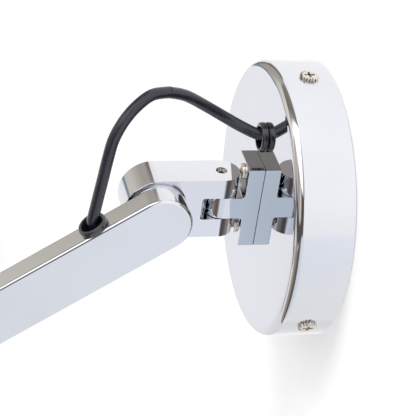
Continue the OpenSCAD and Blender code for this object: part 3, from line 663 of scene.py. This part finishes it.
def make_bracket():
    """Upright flange and round-ended tongue, with small hollow fillets between them."""
    front, fillet, tip = FACE_Y - FLANGE_T, 1.2, TONGUE_END_Y - HALF_W
    side = [(FACE_Y, -FLANGE_H / 2), (FACE_Y, FLANGE_H / 2), (front, FLANGE_H / 2)]
    side += arc(front - fillet, TONGUE_H / 2 + fillet, fillet, 0, -90, 6)
    side += [(tip, TONGUE_H / 2), (tip, -TONGUE_H / 2)]
    side += arc(front - fillet, -TONGUE_H / 2 - fillet, fillet, 90, 0, 6)
    side += [(front, -FLANGE_H / 2)]
    body = moved(slab(side, BLOCK_W), at(-HALF_W, 0, 0) @ SIDE_ON)
    back = FACE_Y + 0.001
    plan = [(HALF_W, back), (-HALF_W, back), (-HALF_W, TONGUE_END_Y)]
    plan += arc(0, TONGUE_END_Y, HALF_W, 180, 360, 48)[1:]
    keep = moved(slab(plan, 2 * FLANGE_H), at(0, 0, -FLANGE_H))
    hole = moved(rod(PIN_D / 2 + 0.05, -TONGUE_H, TONGUE_H, 48), at(0, PIN_Y, 0))
    # The bracket's finish has painted shade on the flange's upper end
    fit(soften(carved(body, [hole], [keep]), 0.3), "bracket", "wall_base", "swivel_bracket",
        "polished_metal", "bracket_metal_painted_shade")


def make_bracket_screws():
    """Screws with rounded heads, a cross recess and a plain shank."""
    r, height, shank_r, shank = BRACKET_HEAD_R, BRACKET_HEAD_H, 2, -9
    dome = arc(r - height / 2, height / 2, height / 2, 0, 62, 8)
    outline = [(0, height)] + dome[::-1] + [(r, 0.1), (r - 0.1, 0), (shank_r, 0)]
    outline += [(shank_r, shank), (0, shank)]
    parts = []
    for up in (-BRACKET_SCREW_UP, BRACKET_SCREW_UP):
        screw = carved(turned(outline, 48), cross(r, height, 0.9, 1.1))
        parts.append(moved(screw, FROM_WALL @ at(0, up, CANOPY_DEPTH + FLANGE_T)))
    fit(joined(*parts), "flange_screws", "wall_base", "bracket_screws", "warm_metal",
        "screw_nickel", 30)


def bolt_holes(place):
    """Hole along X for a shoulder bolt, and the recess for its head."""
    return [moved(rod(BOLT_HOLE_R, -20, 20, 48), place),
            moved(rod(BOLT_RECESS_R, -10, -HALF_W + BOLT_RECESS, 64), place)]


def make_block():
    """Forked block: round ears on the pin, deep slot, rounded outer corners."""
    high, ear_y, round_y = BLOCK_H / 2, PIN_Y + HALF_W, BLOCK_END_Y + BLOCK_END_R
    slot_y, slot = SLOT_END_Y + SLOT_CORNER, SLOT_H / 2
    side = arc(round_y, high - BLOCK_END_R, BLOCK_END_R, 180, 90, 20)
    side += [(ear_y, high), (ear_y, slot), (slot_y, slot)]
    side += arc(slot_y, slot - SLOT_CORNER, SLOT_CORNER, 90, 180, 5)[1:]
    side += arc(slot_y, -slot + SLOT_CORNER, SLOT_CORNER, 180, 270, 5)
    side += [(ear_y, -slot), (ear_y, -high)]
    side += arc(round_y, -high + BLOCK_END_R, BLOCK_END_R, 270, 180, 20)
    body = moved(slab(side, BLOCK_W), at(-HALF_W, 0, 0) @ SIDE_ON)
    plan = [(HALF_W, BLOCK_END_Y - 1), (HALF_W, PIN_Y)] + arc(0, PIN_Y, HALF_W, 0, 180, 48)[1:]
    plan += [(-HALF_W, BLOCK_END_Y - 1)]
    keep = moved(slab(plan, 2 * BLOCK_H), at(0, 0, -BLOCK_H))
    cuts = [moved(rod(PIN_D / 2 + 0.02, -BLOCK_H, BLOCK_H, 48), at(0, PIN_Y, 0))]
    cuts += bolt_holes(TILT_JOINT)
    cuts += [moved(rod(GRUB_HOLE_R, -10, 0, 32), at(0, PIN_Y, EAR_MIDDLE) @ ALONG_X)]
    bm = soften(carved(body, cuts, [keep]), 0.3)
    # A low round rim on the side that the arm turns against
    r, inner_r, thick, root = 12.4, 11.2, 0.9, -0.3
    outline = [(inner_r, root), (r, root)] + arc(r - thick / 2, thick / 2, thick / 2, 0, 90, 6)
    rim = turned(outline + [(inner_r, thick)], 96)
    fit(joined(bm, moved(rim, at(HALF_W, TILT_Y, 0, ALONG_X))), "fork_block", "swivel",
        "swivel_block", "polished_metal")


def make_pin():
    """Hinge pin with a six-sided socket in its upper end."""
    reach, r, edge = BLOCK_H / 2 - PIN_RECESS, PIN_D / 2, 0.2
    outline = [(0, reach), (r - edge, reach), (r, reach - edge), (r, edge - reach),
               (r - edge, -reach), (0, -reach)]
    bm = carved(turned(outline, 48), [rod(1.45, reach - 2, reach + 1, 6)])
    fit(moved(bm, at(0, PIN_Y, 0)), "hinge_pin", "swivel", "swivel_pin", "dark_steel",
        "pin_steel")


def socket_bolt(x, y, z, name, body, node):
    """Shoulder bolt along X with a chamfered head and a six-sided socket."""
    edge, end = 0.4, SHOULDER_LEN + THREAD_LEN
    outline = [(0, -BOLT_HEAD_H), (BOLT_HEAD_R - edge, -BOLT_HEAD_H),
               (BOLT_HEAD_R, edge - BOLT_HEAD_H), (BOLT_HEAD_R, 0), (SHOULDER_R, 0),
               (SHOULDER_R, SHOULDER_LEN), (THREAD_R, SHOULDER_LEN), (THREAD_R, end - edge),
               (THREAD_R - edge, end), (0, end)]
    socket = rod(BOLT_SOCKET_R, -5, BOLT_SOCKET - BOLT_HEAD_H, 6)
    fit(moved(carved(turned(outline, 64), [socket]), at(x, y, z, ALONG_X)), name, body, node,
        "bolt_steel")


# Arms

def stadium(length, radius):
    return arc(length, 0, radius, -90, 90, 40) + arc(0, 0, radius, 90, 270, 40)


def make_arm(number, length, place, body):
    """Closed flat arm: a tray with rounded edges, a cover let into its back, and its screws."""
    lid_z = ARM_T - COVER_T
    far = at(length, 0, 0)
    hollow = moved(slab(stadium(length, ARM_R - ARM_WALL), ARM_T), at(0, 0, ARM_FRONT))
    bosses = [rod(BOSS_R, BOSS_FOOT, lid_z),
              moved(rod(BOSS_R, BOSS_FOOT, ELBOW_BOSS_TOP if number == 1 else lid_z), far)]
    holes = [rod(THREAD_HOLE_R, ARM_FRONT, 20, 32)]
    if number == 1:
        holes += [moved(rod(CORD_HOLE_R, -ARM_WALL - 1, 1, 48), ARM_CORD_HOLE),
                  moved(rod(BOLT_HOLE_R, -1, 8, 48), far)]
    else:
        holes += [moved(rod(THREAD_HOLE_R, ARM_FRONT, 20, 32), far)]
    # The bosses stand in the hollow, so they are added once it is cut
    tray = carved(slab(stadium(length, ARM_R), ARM_T, ARM_EDGE), [hollow])
    tray = carved(carved(tray, adds=bosses), holes)
    fit(moved(tray, place), f"arm_{number}_shell", body, f"arm_{number}_body",
        "polished_metal", "arm_metal")

    cuts = [rod(COVER_HOLE_R, -1, 3, 48)]
    if number == 2:
        cuts.append(moved(rod(COVER_HOLE_R, -1, 3, 48), far))
    screws = []
    for share in COVER_SCREWS:
        along = at(length * share, 0, 0)
        cuts += [moved(rod(COVER_SCREW_HOLE_R, -1, 3, 32), along),
                 moved(rod(COVER_SCREW_R, 0.33, 1.52, 32, 2.42), along)]
        outline = [(0, 0), (COVER_HEAD_R - 0.1, 0), (COVER_HEAD_R, -0.1),
                   (COVER_SCREW_R, -1.15), (COVER_SCREW_R, -7), (0, -7)]
        screw = carved(turned(outline, 40), cross(COVER_HEAD_R, 0, 0.8, 0.8))
        screws.append(moved(screw, place @ at(length * share, 0, ARM_T)))
    lid = carved(slab(stadium(length, ARM_R - ARM_WALL - COVER_GAP), COVER_T), cuts)
    lid = soften(moved(lid, at(0, 0, lid_z)), 0.12, 1)
    fit(moved(lid, place), f"arm_{number}_lid", body, f"arm_{number}_cover", "polished_metal",
        "arm_metal")
    fit(joined(*screws), f"arm_{number}_lid_screws", body, f"arm_{number}_screws",
        "bolt_steel", sharp=30)


# Head. Its pieces are drawn round its own joint

def make_knuckle():
    outline = arc(0, 0, ARM_R, 0, 180, 40) + [(-ARM_R, KNUCKLE_LOW), (ARM_R, KNUCKLE_LOW)]
    body = moved(slab(outline, BLOCK_W), at(-HALF_W, 0, 0) @ SIDE_ON)
    cuts = bolt_holes(ALONG_X) + [rod(TUBE_THREAD_R, -30, -14, 48)]
    fit(moved(soften(carved(body, cuts), 0.6, 3), HEAD), "knuckle", "head", "head_knuckle",
        "polished_metal")


def make_sleeve():
    """Collar between the knuckle and the shade, with two fine grooves."""
    r, edge = SLEEVE_R, 0.3
    outline = [(TUBE_HOLE_R, KNUCKLE_LOW), (r - edge, KNUCKLE_LOW), (r, KNUCKLE_LOW - edge)]
    for z in SLEEVE_GROOVES:
        outline += [(r, z + 0.5), (r - 0.5, z + 0.2), (r - 0.5, z - 0.2), (r, z - 0.5)]
    outline += [(r, edge - SHADE_DROP), (r - edge, -SHADE_DROP), (TUBE_HOLE_R, -SHADE_DROP)]
    fit(moved(turned(outline, 96), HEAD), "neck_collar", "head", "neck_sleeve",
        "polished_metal")


def shade_line(neck, mouth, top, low, shoulder):
    """One side of the shade's wall: flat top, round shoulder, and the bell's flare to its mouth."""
    steps, start = 32, -SHADE_DROP - NECK_LEN
    points = [(0, top)] + arc(neck - shoulder, top - shoulder, shoulder, 90, 0, 10)
    for k in range(steps):
        s = k / steps
        points.append((neck + (mouth - neck) * s * s * (3 - s) / 2, start + (low - start) * s))
    return points


def make_shade():
    """Spun bell shade with a rolled lip, open below, with holes for the tube and the switch."""
    top, low = -SHADE_DROP, -SHADE_DROP - SHADE_LEN + LIP_R
    mouth = MOUTH_R + SHADE_WALL / 2 - LIP_R
    outer = shade_line(NECK_R, mouth, top, low, SHOULDER_ROUND)
    inner = shade_line(NECK_R - SHADE_WALL, mouth - SHADE_WALL, top - SHADE_WALL, low,
                       SHOULDER_ROUND - SHADE_WALL)
    roll = arc(mouth - SHADE_WALL / 2, low, LIP_R, 105, -195, 20)
    holes = [rod(TUBE_HOLE_R, -50, -40, 48),
             moved(rod(SWITCH_HOLE_R, -50, -40, 32), at(0, -SWITCH_OUT, 0))]
    fit(moved(carved(turned(outer + roll + inner[::-1], 144), holes), HEAD), "bell_shade",
        "head", "shade", "polished_metal")


def make_holder():
    """Ceramic lampholder with grooves. The disc at the foot of its upper bore is left open."""
    top = -SHADE_DROP - HOLDER_BELOW
    low, r, dome, bore, edge = top - HOLDER_LEN, HOLDER_R, HOLDER_DOME, HOLDER_BORE_R, 0.8
    outline = [(TUBE_THREAD_R, top - HOLDER_TUBE), (TUBE_THREAD_R, top), (r - dome, top)]
    outline += arc(r - dome, top - dome, dome, 90, 0, 10)
    for z in (top - 14, top - 20, top - 26, top - 32):
        outline += [(r, z + 0.6), (r - 0.5, z), (r, z - 0.6)]
    outline += [(r, low + edge), (r - edge, low), (bore + edge, low), (bore, low + edge),
                (bore, top - HOLDER_BORE_TOP), (0, top - HOLDER_BORE_TOP),
                (0, top - HOLDER_TUBE)]
    fit(moved(turned(outline, 96), HEAD), "socket_cup", "head", "lampholder",
        "white_ceramic")


def make_bulb():
    """Round bulb with a screw cap, which stops short of the lampholder's bore."""
    low = -SHADE_DROP - HOLDER_BELOW - HOLDER_BORE_TOP - 1 - BULB_LEN
    cap_low = low + BULB_LEN - CAP_TIP - CAP_LEN
    meet = math.degrees(math.asin(BULB_NECK_R / BULB_R))
    outline = arc(0, low + BULB_R, BULB_R, -90, 90 - meet, 40)
    outline += [(BULB_NECK_R, cap_low), (0, cap_low)]
    fit(moved(turned(outline, 96), HEAD), "globe", "head", "bulb_glass", "bulb_glass", sharp=60)
    top, tip = cap_low + CAP_LEN, cap_low + CAP_LEN + CAP_TIP
    cap = [(0, tip), (4.5, tip), (6.6, top), (CAP_R, top)]
    for k in range(CAP_TURNS - 1, 0, -1):
        z = cap_low + CAP_LEN * k / CAP_TURNS
        cap += [(CAP_R, z + 1.5)] + arc(CAP_R, z, 0.8, 90, -90, 6) + [(CAP_R, z - 1.5)]
    cap += [(CAP_R, cap_low), (0, cap_low)]
    fit(moved(turned(cap, 72), HEAD), "screw_cap", "head", "bulb_cap", "bolt_steel")


def make_button():
    """Push button with a hollowed top."""
    low, high = SWITCH_LOW, SWITCH_HIGH
    outline = [(0, high - 0.35), (1.6, high - 0.1), (2.1, high)]
    outline += arc(2, high - 1, 1, 85, 0, 6) + [(3, low), (0, low)]
    fit(moved(turned(outline, 48), at(HEAD_X, HEAD_Y - SWITCH_OUT, HEAD_Z)), "push_button",
        "button", "switch_button", "black_plastic", sharp=60)


make_canopy()
make_rim_screws()
make_grommets()
make_bracket()
make_bracket_screws()
make_block()
make_pin()
socket_bolt(-HALF_W + BOLT_SEAT, TILT_Y, 0, "tilt_bolt_turned", "inner_arm", "tilt_bolt")
make_arm(1, ARM_1_LEN, ARM_1, "inner_arm")
make_arm(2, ARM_2_LEN, ARM_2, "outer_arm")
socket_bolt(HEAD_X - HALF_W + BOLT_SEAT, HEAD_Y, HEAD_Z, "head_bolt_turned", "outer_arm",
            "head_bolt")
make_knuckle()
make_sleeve()
make_shade()
make_holder()
make_bulb()
make_button()

# The CAD nodes that stay get their finish by slot
for entry in frame["record"]["subparts"]:
    node = frame["nodes"][entry["node"]]
    node.data.materials.clear()
    node.data.materials.append(FINISH[entry["material_slot"]])


# Studio

SHEET_GLOW, SKY_LEVEL = 0.295, 0.8
KEY_POWER, KEY_SIZE, KEY_PLACE, KEY_AIM = 20, 0.8, (-0.15, -1.1, 1.8), (0, -0.05, 0)
FLOOR_Z, FLOOR_FRONT, STAGE_HALF, STAGE_TOP, WALL_Y = -0.8, -12, 6.0, 5, 0.0005
WHITE = (1, 1, 1)

# What polished metal mirrors, by compass angle from the wall's own sideways direction. Below: the
# pale table and the wall. Above: a warm dim room and the wall. At the top: the same, with a soft
# box over the right shoulder.
DUSK, SOFT_BOX, TABLE_EDGE = (0.22, 0.18, 0.15), (1.5, 1.5, 1.52), (0.15, 0.25, 0.29)
TABLE, SHADOW, DARK_ROOM = (1.0, 0.98, 0.97), (0.16, 0.15, 0.17), (0.12, 0.10, 0.10)
NEAR_WALL, FAR_WALL = (1.08, 1.08, 1.07), (1.07, 1.05, 1.04)
ROOM_LOW = [
    (-180, (0.96, 0.95, 0.93)), (-168, TABLE), (-162, (1.04, 1.03, 1.05)),
    (-114, (1.03, 1.01, 0.99)), (-111.5, TABLE_EDGE), (-107.5, TABLE_EDGE),
    (-105, (1.12, 1.03, 0.98)), (-90, (1.10, 0.98, 0.92)), (-80, (0.48, 0.42, 0.36)),
    (-66, (0.40, 0.34, 0.29)), (-48, (0.17, 0.14, 0.12)), (-32, (0.16, 0.14, 0.13)),
    (-24, (0.80, 0.84, 0.90)), (-19, (0.85, 0.93, 1.0)), (-3, (0.90, 0.92, 0.96)),
    (10, (0.99, 1.01, 1.03)), (17, (1.00, 1.01, 1.07)), (26, NEAR_WALL), (160, FAR_WALL),
    (176, (0.88, 0.86, 0.82)), (180, (0.96, 0.95, 0.93))]
ROOM_HIGH = [
    (-180, DUSK), (-175, DUSK), (-169, (0.44, 0.40, 0.35)), (-157, (0.44, 0.40, 0.35)),
    (-150, (0.55, 0.51, 0.44)), (-145, (0.70, 0.66, 0.59)), (-134, (0.80, 0.74, 0.65)),
    (-110, (0.98, 0.91, 0.83)), (-101, (0.50, 0.44, 0.38)), (-88, (0.72, 0.64, 0.55)),
    (-79, (0.42, 0.37, 0.33)), (-70, (0.42, 0.36, 0.31)), (-60, (0.76, 0.69, 0.62)),
    (-50, (0.72, 0.65, 0.57)), (-42, (0.20, 0.16, 0.14)), (-30, (0.09, 0.07, 0.07)),
    (-15, (0.08, 0.08, 0.09)), (-8, NEAR_WALL), (150, FAR_WALL), (173, FAR_WALL),
    (178, DUSK), (180, DUSK)]
ROOM_TOP = [
    (-180, (1.0, 0.97, 0.95)), (-176, (1.0, 0.97, 0.95)), (-168, (0.3, 0.27, 0.25)),
    (-160, (0.27, 0.23, 0.2)), (-128, DUSK), (-116, (0.40, 0.36, 0.31)), (-106, SOFT_BOX),
    (-30, SOFT_BOX), (-20, (0.34, 0.31, 0.31)), (-10, (0.5, 0.47, 0.46)), (2, NEAR_WALL),
    (150, FAR_WALL), (180, (1.0, 0.97, 0.95))]


def backdrop(name):
    """Pale sheet that shows white and keeps the shadow. Mirrors see the studio's own white
    instead, and from behind it is clear."""
    material = bpy.data.materials.new(name)
    material.use_nodes = True
    tree = material.node_tree
    tree.nodes.clear()
    path = tree.nodes.new("ShaderNodeLightPath")
    geometry = tree.nodes.new("ShaderNodeNewGeometry")
    to_camera, to_mirror = (Value(tree, path.outputs[ray])
                            for ray in ("Is Camera Ray", "Is Glossy Ray"))
    behind = Value(tree, geometry.outputs["Backfacing"])
    plain = build(tree, "ShaderNodeBsdfDiffuse", None, {"Color": (0.8, 0.8, 0.8, 1)})
    glow = build(tree, "ShaderNodeEmission", None, {"Color": (*WHITE, 1), "Strength": SHEET_GLOW})
    seen = build(tree, "ShaderNodeAddShader", None, {0: plain, 1: glow})
    clear = build(tree, "ShaderNodeBsdfTransparent")
    front = build(tree, "ShaderNodeMixShader", None, {0: to_camera, 1: plain, 2: seen})
    hidden = behind.sum("MAXIMUM", behind, to_mirror)
    sheet = build(tree, "ShaderNodeMixShader", None, {0: hidden, 1: front, 2: clear})
    out = tree.nodes.new("ShaderNodeOutputMaterial")
    tree.links.new(sheet.out, out.inputs["Surface"])
    return material


def plane(name, corners, material):
    bm = bmesh.new()
    bm.faces.new([bm.verts.new(c) for c in corners])
    sheet = add_object(name, mesh_of(bm, name))
    sheet.data.materials.append(material)


def make_studio():
    pale = backdrop("pale_sheet")
    left, right, low = -STAGE_HALF, STAGE_HALF, FLOOR_Z
    plane("wall", [(left, WALL_Y, low), (right, WALL_Y, low),
                   (right, WALL_Y, STAGE_TOP), (left, WALL_Y, STAGE_TOP)], pale)
    plane("floor", [(left, FLOOR_FRONT, low), (right, FLOOR_FRONT, low),
                    (right, WALL_Y, low), (left, WALL_Y, low)], pale)
    data = bpy.data.lights.new("key", "AREA")
    data.size, data.energy = KEY_SIZE, KEY_POWER
    lamp = add_object("key", data)
    lamp.location = KEY_PLACE
    lamp.rotation_mode = "QUATERNION"
    lamp.rotation_quaternion = (lamp.location - Vector(KEY_AIM)).to_track_quat("Z", "Y")
    lamp.visible_glossy = False


def compass_place(angle):
    return (angle + 180) / 360


def make_world():
    world = bpy.data.worlds.new("studio")
    bpy.context.scene.world = world
    world.use_nodes = True
    tree = world.node_tree
    tree.nodes.clear()
    x, y, z = axes(tree, build(tree, "ShaderNodeTexCoord", out=0))
    compass = y.sum("ARCTAN2", y, x) / (2 * math.pi) + 0.5

    def between(low, high):
        return step(tree, compass, compass_place(low), compass_place(high))

    low, high, top = (
        build(tree, "ShaderNodeValToRGB",
              {"stops": [(compass_place(angle), colour) for angle, colour in room]}, {0: compass})
        for room in (ROOM_LOW, ROOM_HIGH, ROOM_TOP))
    # Straight down there is only the table, and under the canopy the wall lies in its shadow
    near_table = (1 - step(tree, z, -0.84, -0.76)) * (1 - between(-104, -96))
    low = mix_colours(tree, near_table, low, TABLE)
    under = (1 - step(tree, z, -0.95, -0.72)) * between(70, 112)
    low = mix_colours(tree, under * 0.12, low, SHADOW)
    # Height at which the table and the wall give way to the room, with the table's far edge
    horizon = (between(-153, -145) * 0.12 - between(-124, -113) * 0.10
               + between(-60, -40) * 0.14 + between(-38, -24) * 0.16) - 0.30
    above = z - horizon
    room = mix_colours(tree, step(tree, above, -0.04, 0.06), low, high)
    edge = step(tree, above, -0.05, -0.01) * (1 - step(tree, above, 0.05, 0.1))
    room = mix_colours(tree, edge * 0.8 * (1 - between(-112, -104)), room, TABLE_EDGE)
    dark = step(tree, above, 0.02, 0.08) * (1 - step(tree, above, 0.26, 0.34))
    dark = dark * between(-108, -102) * (1 - between(-22, -14))
    room = mix_colours(tree, dark, room, DARK_ROOM)
    ceiling = z + between(-158, -148) * 0.16 - between(-108, -100) * 0.1
    room = mix_colours(tree, step(tree, ceiling, 0.56, 0.64), room, top)
    # Everything is a little brighter towards the ceiling
    lift = z * 0.13 + 1.08
    grey = build(tree, "ShaderNodeCombineXYZ", None, {0: lift, 1: lift, 2: lift})
    room = mix_colours(tree, 1, room, grey, "MULTIPLY")
    # Matt surfaces see an even sky, and the camera sees white
    path = tree.nodes.new("ShaderNodeLightPath")
    to_matt, to_camera = (Value(tree, path.outputs[ray])
                          for ray in ("Is Diffuse Ray", "Is Camera Ray"))
    even = mix_colours(tree, to_matt, room, (SKY_LEVEL, SKY_LEVEL, SKY_LEVEL))
    shown = mix_colours(tree, to_camera, even, WHITE)
    sky = build(tree, "ShaderNodeBackground", None, {"Color": shown, "Strength": 1.0})
    out = tree.nodes.new("ShaderNodeOutputWorld")
    tree.links.new(sky.out, out.inputs["Surface"])


make_studio()
make_world()
bpy.context.scene.view_settings.view_transform = "Standard"
